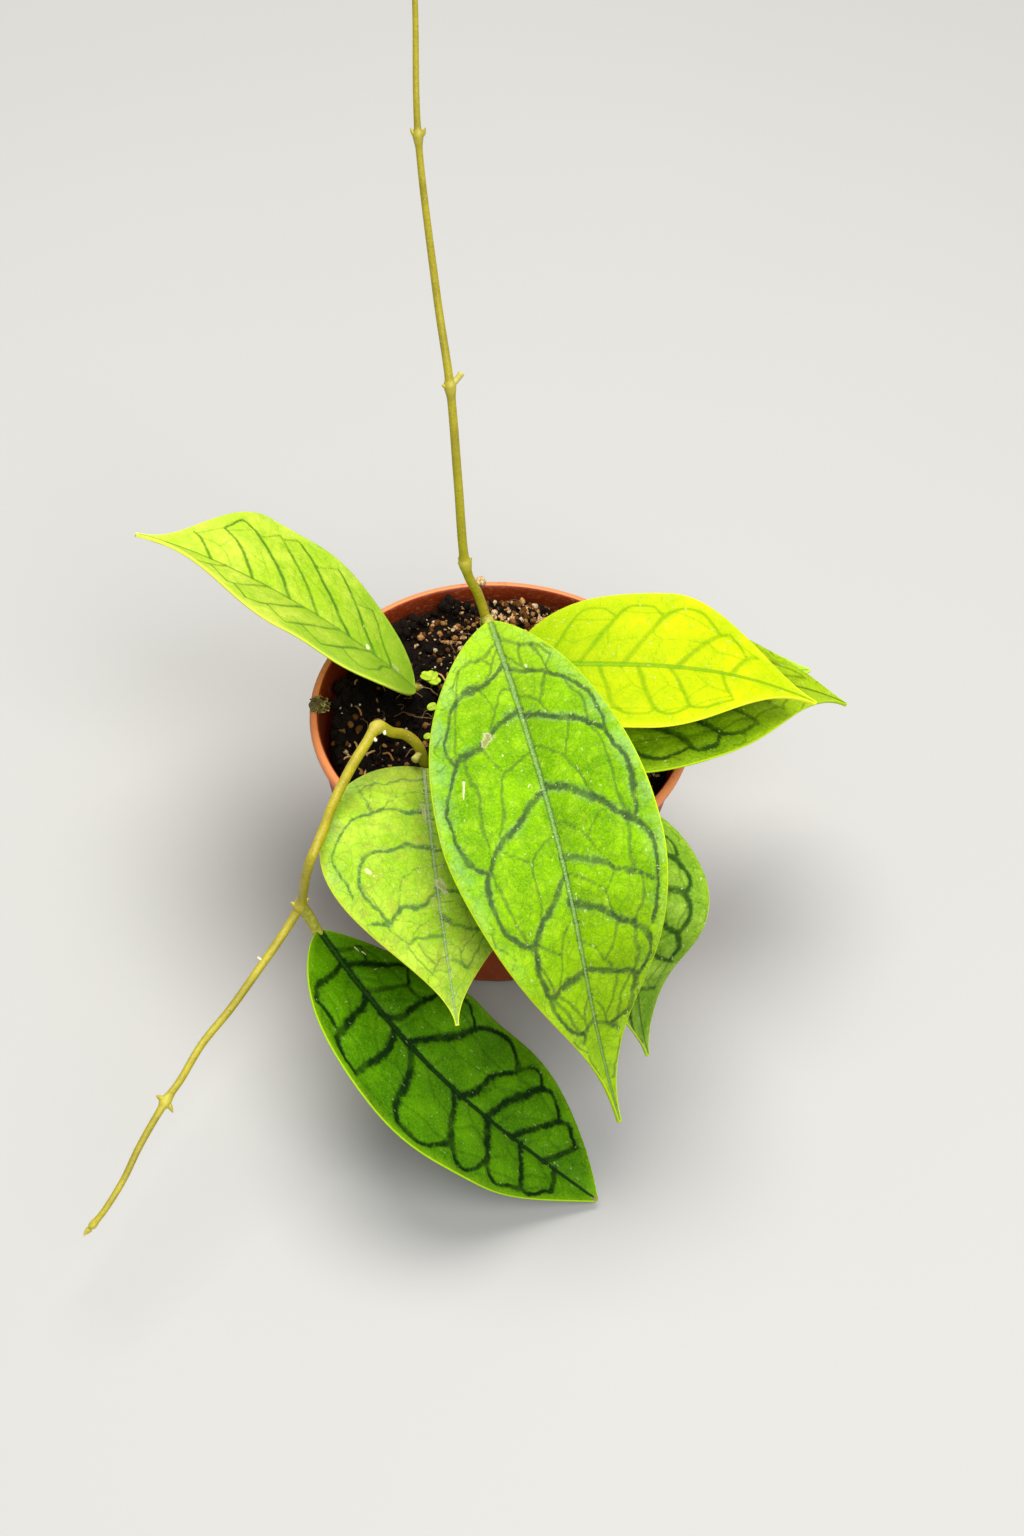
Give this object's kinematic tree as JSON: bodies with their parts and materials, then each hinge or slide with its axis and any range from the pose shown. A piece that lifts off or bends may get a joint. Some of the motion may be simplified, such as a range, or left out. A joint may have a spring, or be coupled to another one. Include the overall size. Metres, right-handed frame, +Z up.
{
  "type": "potted hoya callistophylla",
  "caption": "Young climbing wax vine with large dark-veined leaves, a trailing stem and a tall climbing stem, growing in soil in a round tapered grower pot.",
  "frame": {"origin": "centre of the pot's flat foot, on the surface that it stands on", "axes": "+Z up along the pot's axis and the climbing stem; -Y is the front, where the largest leaf hangs; the trailing stem runs towards -X -Y"},
  "size_m": [0.1967, 0.2239, 0.3],
  "materials": {
    "pot_plastic": "satin",
    "potting_mix": "matte",
    "stem": "satin",
    "leaf_front": "satin",
    "leaf_left": "satin",
    "leaf_right_upper": "satin",
    "leaf_right_middle": "satin",
    "leaf_right_back": "satin",
    "leaf_front_left": "satin",
    "leaf_low": "satin",
    "leaf_front_right": "satin",
    "seedling": "satin",
    "grit": "matte",
    "fibre": "matte"
  },
  "bodies": {
    "root": {"pot": "pot_plastic", "soil": "potting_mix", "stem_climbing": "stem", "stem_trailing": "stem", "stem_short": "stem", "leaf_front": "leaf_front", "leaf_left": "leaf_left", "leaf_right_upper": "leaf_right_upper", "leaf_right_middle": "leaf_right_middle", "leaf_right_back": "leaf_right_back", "leaf_front_left": "leaf_front_left", "leaf_low": "leaf_low", "leaf_front_right": "leaf_front_right", "seedling_clover": "seedling", "seedling_round": "seedling", "seedling_small": "seedling", "grit_on_rim": "grit", "fibre_on_rim": "fibre"}
  },
  "joints": []
}
